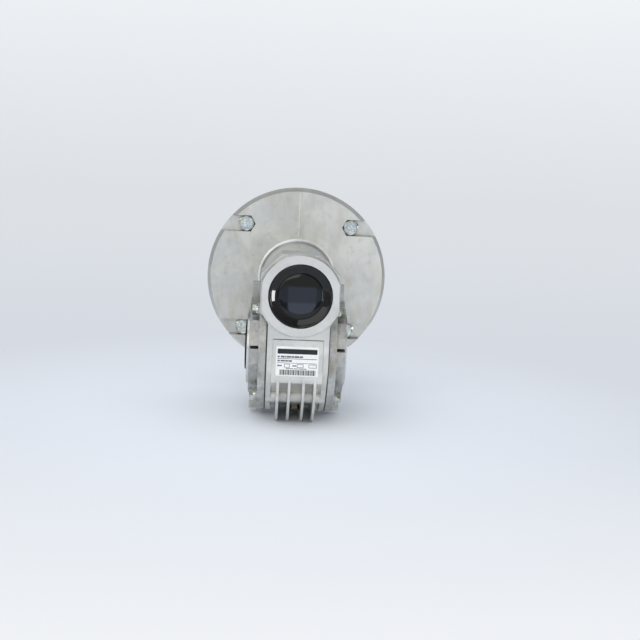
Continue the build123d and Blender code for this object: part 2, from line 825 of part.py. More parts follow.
# Motor bolts, captive in the pockets, with flats above and below
with BuildPart() as motor_bolts:
    with BuildSketch(cross_worm(pocket_floor)):
        with PolarLocations(motor_bolt_circle, 4, start_angle=45, rotate=False):
            RegularPolygon(motor_bolt_flats / 2, 6, major_radius=False)
    extrude(amount=motor_bolt_head)
    # a slightly thinner shank in the flange's hole, then the threaded end that the motor goes on
    with BuildSketch(cross_worm(pocket_floor)):
        with PolarLocations(motor_bolt_circle, 4, start_angle=45):
            Circle(motor_bolt_shank_radius)
    extrude(amount=-motor_bolt_shank_length)
    with BuildSketch(cross_worm(pocket_floor + motor_bolt_shank_length)):
        with PolarLocations(motor_bolt_circle, 4, start_angle=45):
            Circle(motor_bolt_radius)
    extrude(amount=motor_bolt_shank_length - motor_bolt_length)

pieces = {
    "gear_case": gear_case,
    "drain_plug": drain_plug,
    "level_plug": level_plug,
    "left_cover": left_cover,
    "right_cover": right_cover,
    "left_cover_bolts": left_cover_bolts,
    "right_cover_bolts": right_cover_bolts,
    "left_cover_washers": left_cover_washers,
    "right_cover_washers": right_cover_washers,
    "left_bearing_outer_ring": left_bearing_outer,
    "right_bearing_outer_ring": right_bearing_outer,
    "left_bearing_inner_ring": left_bearing_inner,
    "right_bearing_inner_ring": right_bearing_inner,
    "left_oil_seal": left_oil_seal,
    "right_oil_seal": right_oil_seal,
    "output_shaft": output_shaft,
    "wheel_rim": wheel_rim,
    "rim_pins": rim_pins,
    "worm_shaft": worm_shaft,
    "front_bearing_outer_ring": front_bearing_outer,
    "front_bearing_inner_ring": front_bearing_inner,
    "rear_bearing_outer_ring": rear_bearing_outer,
    "rear_bearing_inner_ring": rear_bearing_inner,
    "case_retaining_ring": case_retaining_ring,
    "worm_retaining_ring": worm_retaining_ring,
    "input_oil_seal": input_oil_seal,
    "worm_end_cap": worm_end_cap,
    "output_dust_cap": output_dust_cap,
    "motor_flange": motor_flange,
    "flange_screws": flange_screws,
    "motor_bolts": motor_bolts,
}

os.makedirs("parts", exist_ok=True)
for name, piece in pieces.items():
    piece.part.label = name
    export_step(piece.part, f"parts/{name}.step")
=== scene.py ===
import math

import bmesh
import bpy
from mathutils import Matrix, Vector


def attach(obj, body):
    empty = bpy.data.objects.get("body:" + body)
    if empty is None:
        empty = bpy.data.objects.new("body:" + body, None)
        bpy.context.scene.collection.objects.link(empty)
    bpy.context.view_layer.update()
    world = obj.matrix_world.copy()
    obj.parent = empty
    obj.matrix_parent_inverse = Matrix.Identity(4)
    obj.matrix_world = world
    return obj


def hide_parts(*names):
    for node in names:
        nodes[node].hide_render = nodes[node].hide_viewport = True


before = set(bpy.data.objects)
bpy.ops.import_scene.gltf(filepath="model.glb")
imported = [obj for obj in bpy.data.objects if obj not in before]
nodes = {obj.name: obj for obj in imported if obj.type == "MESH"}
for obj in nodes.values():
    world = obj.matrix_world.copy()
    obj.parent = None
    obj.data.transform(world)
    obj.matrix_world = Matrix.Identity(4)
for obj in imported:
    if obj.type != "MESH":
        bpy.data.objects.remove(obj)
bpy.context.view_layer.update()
mm = 0.001
wormHeight = 62.5  # worm axis above the output axis
print("frame loaded:", len(nodes), "nodes")


# small tools

def linear(code):
    # sRGB hex to the linear colour the shaders take
    parts = [int(code[i:i + 2], 16) / 255 for i in (1, 3, 5)]
    return tuple(c / 12.92 if c <= 0.04045 else ((c + 0.055) / 1.055) ** 2.4 for c in parts) + (1,)


def addNode(tree, kind, values=None, links=None, **settings):
    node = tree.nodes.new(kind)
    for name, value in settings.items():
        setattr(node, name, value)
    for socket, value in (values or {}).items():
        node.inputs[socket].default_value = value
    for socket, source in (links or {}).items():
        tree.links.new(source, node.inputs[socket])
    return node


def newMaterial(name):
    material = bpy.data.materials.new(name)
    material.use_nodes = True
    tree = material.node_tree
    tree.nodes.clear()
    shader = addNode(tree, "ShaderNodeBsdfPrincipled")
    addNode(tree, "ShaderNodeOutputMaterial", links={0: shader.outputs[0]})
    place = addNode(tree, "ShaderNodeTexCoord").outputs["Object"]
    return material, tree, shader, place


def perSize(size):
    return 1 / (size * mm)  # noise scale for a feature of that many millimetres


def noiseOf(tree, place, size, detail=3, roughness=0.55, distortion=0):
    values = {"Scale": perSize(size), "Detail": detail, "Roughness": roughness, "Distortion": distortion}
    return addNode(tree, "ShaderNodeTexNoise", values, {"Vector": place}).outputs[0]


def rangeOf(tree, source, low, high, toLow=0.0, toHigh=1.0):
    values = {1: low, 2: high, 3: toLow, 4: toHigh}
    return addNode(tree, "ShaderNodeMapRange", values, {0: source}, clamp=True).outputs[0]


def mixColours(tree, factor, first, second, blend="MIX"):
    values, links = {}, {}
    for socket, item in ((0, factor), (6, first), (7, second)):
        if isinstance(item, (int, float, tuple)):
            values[socket] = item
        else:
            links[socket] = item
    node = addNode(tree, "ShaderNodeMix", values, links, data_type="RGBA", blend_type=blend)
    return node.outputs[2]


def mathOf(tree, operation, first, second=0.0):
    values, links = {}, {}
    for socket, item in ((0, first), (1, second)):
        if isinstance(item, (int, float)):
            values[socket] = item
        else:
            links[socket] = item
    return addNode(tree, "ShaderNodeMath", values, links, operation=operation).outputs[0]


def newPiece(name, bm, body, stands, materials, smoothAngle=35):
    # sharp edges stay crisp and the rest is smooth
    limit = math.radians(smoothAngle)
    for face in bm.faces:
        face.smooth = True
    for edge in bm.edges:
        edge.smooth = len(edge.link_faces) == 2 and edge.calc_face_angle(0) < limit
    mesh = bpy.data.meshes.new(name)
    bm.to_mesh(mesh)
    bm.free()
    piece = bpy.data.objects.new(name, mesh)
    bpy.context.scene.collection.objects.link(piece)
    for material in materials:
        mesh.materials.append(material)
    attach(piece, body)
    if stands:
        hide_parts(*stands)
    return piece


def addModifier(piece, name, kind, **settings):
    modifier = piece.modifiers.new(name, kind)
    for setting, value in settings.items():
        setattr(modifier, setting, value)
    return modifier


# materials

def castAluminium(name, look):
    # die-cast aluminium alloy, blasted: matt light grey with a fine grain and soft grey clouds
    material, tree, shader, place = newMaterial(name)
    clouds = rangeOf(tree, noiseOf(tree, place, look["cloudMm"], 4, 0.6, 0.6), 0.36, 0.64)
    spots = rangeOf(tree, noiseOf(tree, place, look["spotMm"], 3, 0.5), 0.58, 0.72)
    colour = mixColours(tree, clouds, linear(look["dark"]), linear(look["light"]))
    colour = mixColours(tree, mathOf(tree, "MULTIPLY", spots, look["spots"]), colour, linear(look["spot"]))
    if "streak" in look:
        # brownish die-release streaks that run along the faces
        stretched = addNode(
            tree, "ShaderNodeMapping", {"Scale": look["streakStretch"]}, {"Vector": place}
        ).outputs[0]
        streaks = rangeOf(tree, noiseOf(tree, stretched, look["streakMm"], 3, 0.6), 0.5, 0.7)
        amount = mathOf(tree, "MULTIPLY", streaks, look["streaks"])
        colour = mixColours(tree, amount, colour, linear(look["streak"]))
    # painted shade: the colour darkens where ambient occlusion finds inner corners, meant also as die lubricant
    # dirt there
    shade = addNode(
        tree, "ShaderNodeAmbientOcclusion", {"Distance": look["cornerShadeMm"] * mm}, samples=8
    ).outputs["AO"]
    corners = rangeOf(tree, shade, 0.25, 0.75, look["corners"], 0.0)
    colour = mixColours(tree, corners, colour, linear(look["corner"]))
    # thin dark lines: sealing compound and dirt in the joints where two castings meet, and painted shadow where
    # two levels meet at the pad's step
    normal = addNode(tree, "ShaderNodeTexCoord").outputs["Normal"]
    sideways = addNode(
        tree, "ShaderNodeVectorMath", links={0: normal}, operation="ABSOLUTE"
    ).outputs[0]
    turned = addNode(tree, "ShaderNodeSeparateXYZ", links={0: sideways}).outputs[0]
    edgeOnly = rangeOf(tree, turned, 0.8, 0.95, look["seal"], 0.0)  # not on the flat sides of the case
    for middle, half in look["joints"]:
        shifted = addNode(
            tree, "ShaderNodeVectorMath", {1: [c * mm for c in middle]}, {0: place}, operation="SUBTRACT"
        ).outputs[0]
        mirrored = addNode(
            tree, "ShaderNodeVectorMath", links={0: shifted}, operation="ABSOLUTE"
        ).outputs[0]
        outside = addNode(
            tree, "ShaderNodeVectorMath", {1: [c * mm for c in half]}, {0: mirrored}, operation="SUBTRACT"
        ).outputs[0]
        sides = addNode(tree, "ShaderNodeSeparateXYZ", links={0: outside}).outputs
        away = mathOf(tree, "MAXIMUM", mathOf(tree, "MAXIMUM", sides[0], sides[1]), sides[2])
        line = mathOf(tree, "MULTIPLY", rangeOf(tree, away, -0.15 * mm, 0.25 * mm, 1.0, 0.0), edgeOnly)
        colour = mixColours(tree, line, colour, linear(look["sealantAndShadow"]))
    if "ring" in look:
        # painted shadow: a thin dark ring round the worm axis at the foot of the tube, where the tube meets the
        # flange's round
        flat = addNode(
            tree, "ShaderNodeVectorMath", {1: (1, 0, 1), 2: (0, 0, -wormHeight * mm)}, {0: place},
            operation="MULTIPLY_ADD",
        ).outputs[0]
        radius = addNode(tree, "ShaderNodeVectorMath", links={0: flat}, operation="LENGTH").outputs["Value"]
        inner, outer = look["ring"] * mm, (look["ring"] + 0.5) * mm
        line = rangeOf(tree, radius, inner, outer, look["seal"] * 0.4, 0.0)
        colour = mixColours(tree, line, colour, linear(look["sealantAndShadow"]))
    tree.links.new(colour, shader.inputs["Base Color"])
    # the grain is drawn coarser than the real 0.2 mm so that it shows
    grain = noiseOf(tree, place, look["grainMm"], 3, 0.6)
    dents = noiseOf(tree, place, look["dentMm"], 2, 0.5)
    height = mathOf(tree, "ADD", grain, mathOf(tree, "MULTIPLY", dents, 2.0))
    rounded = addNode(tree, "ShaderNodeBevel", {"Radius": look["edgeMm"] * mm}, samples=4).outputs[0]
    bump = addNode(
        tree, "ShaderNodeBump", {"Strength": look["bump"], "Distance": 0.12 * mm},
        {"Height": height, "Normal": rounded},
    ).outputs[0]
    tree.links.new(bump, shader.inputs["Normal"])
    rough = rangeOf(tree, clouds, 0, 1, look["rough"] - 0.05, look["rough"] + 0.05)
    tree.links.new(rough, shader.inputs["Roughness"])
    shader.inputs["Metallic"].default_value = look["metallic"]
    return material


def turnedMetal(name, look):
    # metal cut on a lathe: fine rings round the axis, which catch the light as thin lines
    material, tree, shader, place = newMaterial(name)
    centred = addNode(
        tree, "ShaderNodeMapping", {"Location": look["centre"]}, {"Vector": place}
    ).outputs[0]
    parts = addNode(tree, "ShaderNodeSeparateXYZ", links={0: centred})
    along, sideways = (0, 1) if look["axis"] == "x" else (1, 0)
    squares = [mathOf(tree, "POWER", parts.outputs[i], 2.0) for i in (sideways, 2)]
    radius = mathOf(tree, "SQRT", mathOf(tree, "ADD", squares[0], squares[1]))
    travel = mathOf(tree, "ADD", parts.outputs[along], radius)
    values = {"Scale": perSize(look["grooveMm"]), "Detail": 2.0, "Roughness": 0.6}
    grooves = addNode(
        tree, "ShaderNodeTexNoise", values, {"W": travel}, noise_dimensions="1D"
    ).outputs[0]
    clouds = noiseOf(tree, place, look["cloudMm"], 3, 0.6)
    mixed = rangeOf(tree, mathOf(tree, "ADD", mathOf(tree, "MULTIPLY", grooves, 0.5), clouds), 0.55, 0.95)
    colour = mixColours(tree, mixed, linear(look["dark"]), linear(look["light"]))
    tree.links.new(colour, shader.inputs["Base Color"])
    rough = rangeOf(tree, grooves, 0.35, 0.65, look["rough"] - 0.06, look["rough"] + 0.08)
    tree.links.new(rough, shader.inputs["Roughness"])
    rounded = addNode(tree, "ShaderNodeBevel", {"Radius": 0.3 * mm}, samples=4).outputs[0]
    bump = addNode(
        tree, "ShaderNodeBump", {"Strength": look["bump"], "Distance": 0.03 * mm},
        {"Height": grooves, "Normal": rounded},
    ).outputs[0]
    tree.links.new(bump, shader.inputs["Normal"])
    shader.inputs["Metallic"].default_value = 1.0
    return material


def zincPlate(name, look):
    # zinc plating with a clear bluish passivation: bright, a little cloudy, faint colour play
    material, tree, shader, place = newMaterial(name)
    clouds = rangeOf(tree, noiseOf(tree, place, look["cloudMm"], 3, 0.6, 0.4), 0.35, 0.65)
    colour = mixColours(tree, clouds, linear(look["dark"]), linear(look["light"]))
    play = rangeOf(tree, noiseOf(tree, place, look["playMm"], 2, 0.5), 0.55, 0.75, 0, look["play"])
    colour = mixColours(tree, play, colour, linear(look["tint"]))
    tree.links.new(colour, shader.inputs["Base Color"])
    haze = noiseOf(tree, place, 0.7, 3, 0.6)
    rough = rangeOf(tree, haze, 0.3, 0.7, look["rough"] - 0.06, look["rough"] + 0.1)
    tree.links.new(rough, shader.inputs["Roughness"])
    bump = addNode(
        tree, "ShaderNodeBump", {"Strength": 0.25, "Distance": 0.03 * mm},
        {"Height": noiseOf(tree, place, 0.9, 3, 0.6)},
    ).outputs[0]
    tree.links.new(bump, shader.inputs["Normal"])
    shader.inputs["Metallic"].default_value = 1.0
    return material


def mouldedRubber(name, look):
    # nitrile rubber over a steel core, pressed in a mould: black, smooth, with dust in the low places
    material, tree, shader, place = newMaterial(name)
    dust = rangeOf(tree, noiseOf(tree, place, look["dustMm"], 4, 0.65), 0.5, 0.8, 0, look["dust"])
    colour = mixColours(tree, dust, linear(look["base"]), linear(look["dustColour"]))
    tree.links.new(colour, shader.inputs["Base Color"])
    wiped = noiseOf(tree, place, 3.0, 3, 0.6)
    rough = rangeOf(tree, wiped, 0.3, 0.7, look["rough"] * 0.7, look["rough"] * 1.3)
    tree.links.new(rough, shader.inputs["Roughness"])
    bump = addNode(
        tree, "ShaderNodeBump", {"Strength": look["bump"], "Distance": 0.05 * mm},
        {"Height": noiseOf(tree, place, look["skinMm"], 3, 0.6)},
    ).outputs[0]
    tree.links.new(bump, shader.inputs["Normal"])
    shader.inputs["IOR"].default_value = 1.45
    return material


def printedFilm(name, look):
    # polyester label film: smooth, half matt, with faint unevenness of the glue under it
    material, tree, shader, place = newMaterial(name)
    patches = rangeOf(tree, noiseOf(tree, place, 9.0, 3, 0.6), 0.3, 0.7)
    colour = mixColours(tree, patches, linear(look["dark"]), linear(look["light"]))
    tree.links.new(colour, shader.inputs["Base Color"])
    worn = noiseOf(tree, place, 2.0, 2, 0.5)
    rough = rangeOf(tree, worn, 0.3, 0.7, look["rough"] - 0.05, look["rough"] + 0.05)
    tree.links.new(rough, shader.inputs["Roughness"])
    bump = addNode(
        tree, "ShaderNodeBump", {"Strength": 0.2, "Distance": 0.05 * mm},
        {"Height": noiseOf(tree, place, 4.0, 2, 0.5)},
    ).outputs[0]
    tree.links.new(bump, shader.inputs["Normal"])
    return material


# corner, corners and the corner reach in millimetres set the painted shade in inner corners
caseLook = {
    "light": "#E2E2DE", "dark": "#CFD0CC", "cloudMm": 22, "spot": "#AEAFAB", "spotMm": 5, "spots": 0.25,
    "corner": "#5C5953", "corners": 0.2, "cornerShadeMm": 4.0, "grainMm": 0.6, "dentMm": 3.0, "bump": 0.35,
    "edgeMm": 0.5, "rough": 0.46, "metallic": 0.85, "seal": 0.9, "sealantAndShadow": "#2A2926",
}
# middles and half sizes of the thin boxes that the dark lines fill
caseSide = 30.5
coverJoints = [((side * caseSide, 0, -33), (0.5, 90, 67)) for side in (-1, 1)]
coverEdges = [((side * caseSide, 0, 0), (0.5, 90, 90)) for side in (-1, 1)]
hubJoint = ((0, 74, 62.5), (60, 0.4, 60))
# painted shadow: a thin dark line along the top edge of the pad, under the overhanging block
padStepShadow = ((0, -74, 19.5), (24.6, 5, 0.35))
coverLook = dict(
    caseLook, light="#C8CAC9", dark="#ACAEAC", cloudMm=14, spot="#8B8D8A", spots=0.35, cornerShadeMm=5.0,
    corners=0.3, streak="#978D75", streakStretch=(1.0, 1.0, 0.35), streakMm=8, streaks=0.65, rough=0.42,
    joints=coverEdges,
)
# the flange's stronger, darker painted corner shade draws dark lines at the walls of its bolt pockets
flangeLook = dict(
    caseLook, light="#DBDBD6", dark="#C8C9C5", cloudMm=30, spot="#AEAFAA", spotMm=7, spots=0.35,
    streak="#B5AF9F", streakStretch=(1.0, 1.0, 0.35), streakMm=12, streaks=0.35, joints=[hubJoint],
    corners=0.85, corner="#4E4D49", cornerShadeMm=3.0,
)
# painted shade: a darker, bluer tone for the upper flats of the worm tube
tubeShadeLook = dict(caseLook, joints=[], light="#D3D5D5", dark="#BFC3C4", spot="#A3A6A7")
# painted highlight: the parting ridge and the round at the tube's foot are made lighter where they catch the
# light
ridgeHighlightLook = dict(
    flangeLook, light="#F4F5F1", dark="#E8E9E5", corners=0.5, corner="#77756F", rough=0.38, joints=[]
)
# the round also holds a thin ring of painted shadow, 41.2 mm from the worm axis
roundHighlightLook = dict(flangeLook, light="#ECEEEE", dark="#E0E3E4", corners=0.1, rough=0.42, ring=41.2)
castCase = castAluminium("castAluminiumCase", dict(caseLook, joints=coverJoints + [hubJoint, padStepShadow]))
castTubeShade = castAluminium("castAluminiumTubeShade", tubeShadeLook)
castCover = castAluminium("castAluminiumCover", coverLook)
castFlange = castAluminium("castAluminiumFlange", flangeLook)
castRidgeHighlight = castAluminium("castAluminiumRidgeHighlight", ridgeHighlightLook)
castRoundHighlight = castAluminium("castAluminiumRoundHighlight", roundHighlightLook)

outputAxis = {"axis": "x", "centre": (0, 0, 0)}
wormAxis = {"axis": "y", "centre": (0, 0, -wormHeight * mm)}
turnedLook = {
    "light": "#D2D3D2", "dark": "#AEB0B0", "grooveMm": 0.35, "cloudMm": 12, "rough": 0.3, "bump": 0.5,
}
ringLook = dict(turnedLook, rough=0.18, bump=0.2)
faceLook = dict(turnedLook, grooveMm=0.5, cloudMm=18)
turnedShaft = turnedMetal("turnedSteelShaft", dict(turnedLook, **outputAxis))
groundWorm = turnedMetal("groundSteelWorm", dict(turnedLook, rough=0.22, bump=0.3, grooveMm=0.25, **wormAxis))
groundOutputRing = turnedMetal("groundBearingSteelOutput", dict(ringLook, **outputAxis))
groundWormRing = turnedMetal("groundBearingSteelWorm", dict(ringLook, **wormAxis))
bronzeRim = turnedMetal("turnedBronzeRim", dict(turnedLook, light="#C79A5C", dark="#A67C44", **outputAxis))
turnedFace = turnedMetal(
    "turnedAluminiumFace", dict(faceLook, light="#E4E2D9", dark="#D4D2CA", rough=0.36, bump=0.25, **wormAxis)
)
turnedCover = turnedMetal(
    "turnedAluminiumCover", dict(faceLook, light="#E2E4E4", dark="#C9CCCC", bump=0.35, **outputAxis)
)
zincLook = {
    "light": "#E4E6D9", "dark": "#A7B0AC", "cloudMm": 2.5, "tint": "#D9DCC2", "playMm": 5, "play": 0.5,
    "rough": 0.17,
}
zincBolt = zincPlate("bluePassivatedZinc", zincLook)
zincPin = zincPlate("brightZincPin", dict(zincLook, play=0.2))
yellowZinc = zincPlate(
    "yellowPassivatedZinc", dict(zincLook, light="#9C9783", dark="#757160", tint="#8E8069", rough=0.32)
)
blackOxide = zincPlate(
    "blackOxideSteel", dict(zincLook, light="#3A3B3D", dark="#242526", tint="#3B3530", rough=0.38)
)
springSteel = zincPlate(
    "phosphatedSpringSteel", dict(zincLook, light="#55565A", dark="#3C3D40", tint="#4A453E", rough=0.42)
)
capLook = {
    "base": "#0A0B0D", "dustColour": "#3A3A3A", "dustMm": 2.2, "dust": 0.12, "rough": 0.05, "bump": 0.03,
    "skinMm": 1.6,
}
sealLook = dict(capLook, base="#141416", rough=0.5, dust=0.3, bump=0.3, skinMm=0.6)
glossRubber = mouldedRubber("glossNitrileRubber", capLook)
capRubber = mouldedRubber("satinNitrileRubber", dict(capLook, rough=0.3, dust=0.25, bump=0.2, skinMm=0.8))
sealRubber = mouldedRubber("mattNitrileRubber", sealLook)
labelFilm = printedFilm("whitePolyesterFilm", {"light": "#F4F5F5", "dark": "#E6E8E8", "rough": 0.35})
labelInk = printedFilm("blackScreenInk", {"light": "#1B1B1D", "dark": "#111113", "rough": 0.4})
labelGrey = printedFilm("greyScreenInk", {"light": "#65676B", "dark": "#56585C", "rough": 0.42})
print("materials made")


# castings: merged copies of the CAD nodes with rounded edges

def castCopy(look, materials, faceMaterial=None):
    bm = bmesh.new()
    bm.from_mesh(nodes[look["node"]].data)
    bmesh.ops.remove_doubles(bm, verts=bm.verts, dist=look["mergeMm"] * mm)
    bmesh.ops.dissolve_limit(
        bm, angle_limit=math.radians(look["flatAngle"]), verts=bm.verts, edges=bm.edges
    )
    if faceMaterial:
        for face in bm.faces:
            face.material_index = faceMaterial(face)
    piece = newPiece(look["name"], bm, "housing", [look["node"]], materials)
    addModifier(
        piece, "castEdge", "BEVEL", width=look["edgeMm"] * mm, segments=look["segments"],
        limit_method="ANGLE", angle_limit=math.radians(look["bevelAngle"]),
        use_clamp_overlap=True, harden_normals=False, miter_outer="MITER_ARC",
    )
    addModifier(piece, "faceShade", "WEIGHTED_NORMAL", keep_sharp=True)
    return piece


# where each finish, painted shade and painted highlight lies: places along the axis and radii round it, in
# millimetres
faceBounds = {
    "bossEnd": -79.5, "octagonFront": -70, "octagonRear": -14.5, "octagonInner": 33, "octagonOuter": 47,
    "octagonDrop": 5, "coverFace": 47.5, "sleeveStart": 48, "sleeveInner": 39.5, "sleeveOuter": 40.5,
    "motorFace": 96.9, "pilotStart": 97, "pilotInner": 64.5, "pilotOuter": 65.5,
    "hubInner": 39, "hubOuter": 45, "hubFront": 74.5, "hubRear": 80.5,
}


def casePlace(face):
    # 1 the boss's end is turned, and 2 the upper flat sides of the worm tube get painted shade, a darker and
    # bluer tone than the rest
    centre, normal = face.calc_center_median() / mm, face.normal
    if normal.y < -0.99 and centre.y < faceBounds["bossEnd"]:
        return 1
    radius = math.hypot(centre.x, centre.z - wormHeight)
    along = faceBounds["octagonFront"] < centre.y < faceBounds["octagonRear"] and abs(normal.y) < 0.3
    around = faceBounds["octagonInner"] < radius < faceBounds["octagonOuter"]
    return 2 if along and around and centre.z > wormHeight - faceBounds["octagonDrop"] else 0


def coverPlace(face):
    # 1 the hub face and the raised spigot are turned, and the rest is as cast
    centre, normal = face.calc_center_median() / mm, face.normal
    radius = math.hypot(centre.y, centre.z)
    flatFace = abs(normal.x) > 0.99 and abs(centre.x) > faceBounds["coverFace"]
    around = faceBounds["sleeveInner"] < radius < faceBounds["sleeveOuter"]
    sleeve = abs(centre.x) > faceBounds["sleeveStart"] and around and abs(normal.x) < 0.1
    return 1 if flatFace or sleeve else 0


def flangePlace(face):
    # 1 the motor's side is turned, and 2 the round at the foot of the tube gets a painted highlight
    centre, normal = face.calc_center_median() / mm, face.normal
    radius = math.hypot(centre.x, centre.z - wormHeight)
    pilot = faceBounds["pilotInner"] < radius < faceBounds["pilotOuter"] and centre.y > faceBounds["pilotStart"]
    if normal.y > 0.99 and centre.y > faceBounds["motorFace"] or pilot:
        return 1
    around = faceBounds["hubInner"] < radius < faceBounds["hubOuter"]
    along = faceBounds["hubFront"] < centre.y < faceBounds["hubRear"]
    return 2 if around and along and -0.995 < normal.y < -0.1 else 0


castLook = {"mergeMm": 0.002, "flatAngle": 0.6, "bevelAngle": 28, "segments": 2, "edgeMm": 0.7}
castCopy(
    dict(castLook, node="gear_case", name="gear_case_cast", slot="gear_case"),
    [castCase, turnedFace, castTubeShade], casePlace,
)
for side in ("left", "right"):
    castCopy(
        dict(castLook, node=side + "_cover", name=side + "_cover_cast", slot="cover"),
        [castCover, turnedCover], coverPlace,
    )
castCopy(
    dict(castLook, node="motor_flange", name="motor_flange_cast", slot="motor_flange", edgeMm=0.5),
    [castFlange, turnedFace, castRoundHighlight], flangePlace,
)
print("castings made")


# parting line left by the two halves of the die, on the flange's face and on top of the worm tube
partingLook = {
    "width": 1.1, "height": 0.25, "sink": 0.3, "round": 0.25, "face": 80, "faceLow": 108.5, "faceHigh": 156.5,
    "tubeTop": wormHeight + 39, "tubeFront": -13.5, "tubeRear": 72.6,
}


def flatBlock(bm, low, high):
    made = bmesh.ops.create_cube(bm, size=1)
    bmesh.ops.scale(bm, verts=made["verts"], vec=[(b - a) * mm for a, b in zip(low, high)])
    bmesh.ops.translate(bm, verts=made["verts"], vec=[(a + b) / 2 * mm for a, b in zip(low, high)])


def partingRidge(name, low, high, material):
    bm = bmesh.new()
    flatBlock(bm, low, high)
    bmesh.ops.bevel(
        bm, geom=bm.edges[:], offset=partingLook["round"] * mm, segments=2, profile=0.5,
        affect="EDGES", material=-1,
    )
    return newPiece(name, bm, "housing", [], [material])


half = partingLook["width"] / 2
partingRidge(
    "flange_parting_ridge",
    (-half, partingLook["face"] - partingLook["height"], partingLook["faceLow"]),
    (half, partingLook["face"] + partingLook["sink"], partingLook["faceHigh"]),
    castRidgeHighlight,
)
partingRidge(
    "tube_parting_ridge",
    (-half, partingLook["tubeFront"], partingLook["tubeTop"] - partingLook["sink"]),
    (half, partingLook["tubeRear"], partingLook["tubeTop"] + partingLook["height"]),
    castCase,
)


# turned pieces

def lathe(profile, axis, height=0.0, steps=96):
    # profile: places along the axis and radii in millimetres, as one closed line
    bm = bmesh.new()
    turn = Vector((1, 0, 0)) if axis == "x" else Vector((0, 1, 0))
    corners = []
    for along, radius in profile:
        corners.append(bm.verts.new((turn * along + Vector((0, 0, radius + height))) * mm))
    first = 1 if profile[0][1] == profile[-1][1] == 0 else 0  # open if both ends are on the axis
    edges = [bm.edges.new((corners[i - 1], corners[i])) for i in range(first, len(corners))]
    bmesh.ops.spin(
        bm, geom=corners + edges, cent=(0, 0, height * mm), axis=turn, dvec=(0, 0, 0),
        angle=2 * math.pi, steps=steps, use_merge=True, use_duplicate=False,
    )
    bmesh.ops.remove_doubles(bm, verts=bm.verts, dist=0.001 * mm)
    bmesh.ops.recalc_face_normals(bm, faces=bm.faces)
    return bm


# end cap of the worm bore: rim, groove and a slightly domed middle
capProfile = [
    (-78.9, 0), (-78.84, 6), (-78.64, 12), (-78.39, 17), (-78.13, 20.8), (-77.95, 21.6), (-77.3, 22.0),
    (-76.85, 22.3), (-76.7, 22.6), (-76.8, 23.0), (-77.5, 25.0), (-78.4, 27.5), (-78.7, 28.3), (-79.1, 28.8),
    (-79.35, 29.3), (-79.4, 30.1), (-79.2, 30.7), (-78.7, 31.0), (-74.1, 31.0), (-74.0, 30.8),
    (-74.0, 28.6), (-75.3, 28.4), (-75.4, 28.0), (-75.4, 0),
]
newPiece(
    "worm_end_cap_moulded", lathe(capProfile, "y", wormHeight, 128), "housing", ["worm_end_cap"],
    [glossRubber], 60,
)

# dust cap over the shaft's left end
dustProfile = [
    (-52.2, 0), (-52.2, 18), (-52.25, 20), (-52.5, 20.8), (-52.6, 21.6), (-52.6, 24.8), (-52.45, 25.5),
    (-52.0, 25.9), (-51.4, 26), (-49.6, 26), (-49.5, 25.8), (-49.5, 24.1), (-51.2, 24.0), (-51.3, 23.8),
    (-51.3, 0),
]
newPiece(
    "output_dust_cap_moulded", lathe(dustProfile, "x"), "housing", ["output_dust_cap"],
    [capRubber], 60,
)

# shaft seals: outer band, sunk face and the lip that runs on the shaft, drawn for the output shaft's size
outputSeal = {"start": 42.5, "shaft": 20, "seat": 26}
inputSeal = {"start": 75, "shaft": 15, "seat": 23.5}
sealProfile = [
    (0.0, 25.8), (0.3, 26), (6.6, 26), (6.95, 25.7), (7.0, 25.2), (7.0, 24.2), (6.7, 23.8), (6.0, 23.6),
    (5.8, 23.2), (5.8, 22.4), (6.2, 21.6), (6.7, 20.9), (6.75, 20.4), (6.5, 20.05), (5.6, 20.03),
    (4.6, 20.5), (2.4, 20.6), (1.8, 20.05), (1.2, 20.3), (0.6, 22.2), (0.0, 23.4),
]
for side, sign in (("left", -1), ("right", 1)):
    newPiece(
        side + "_oil_seal_lipped", lathe([(sign * (outputSeal["start"] + x), r) for x, r in sealProfile], "x"),
        "housing", [side + "_oil_seal"], [sealRubber], 50,
    )
wider = (inputSeal["seat"] - inputSeal["shaft"]) / (outputSeal["seat"] - outputSeal["shaft"])
inputProfile = []
for x, r in sealProfile:
    radius = min(inputSeal["shaft"] + (r - outputSeal["shaft"]) * wider, inputSeal["seat"])
    inputProfile.append((inputSeal["start"] + x, radius))
newPiece(
    "input_oil_seal_lipped", lathe(inputProfile, "y", wormHeight),
    "housing", ["input_oil_seal"], [sealRubber], 50,
)
print("cap and seals made")


# hexagon screws with turned chamfers

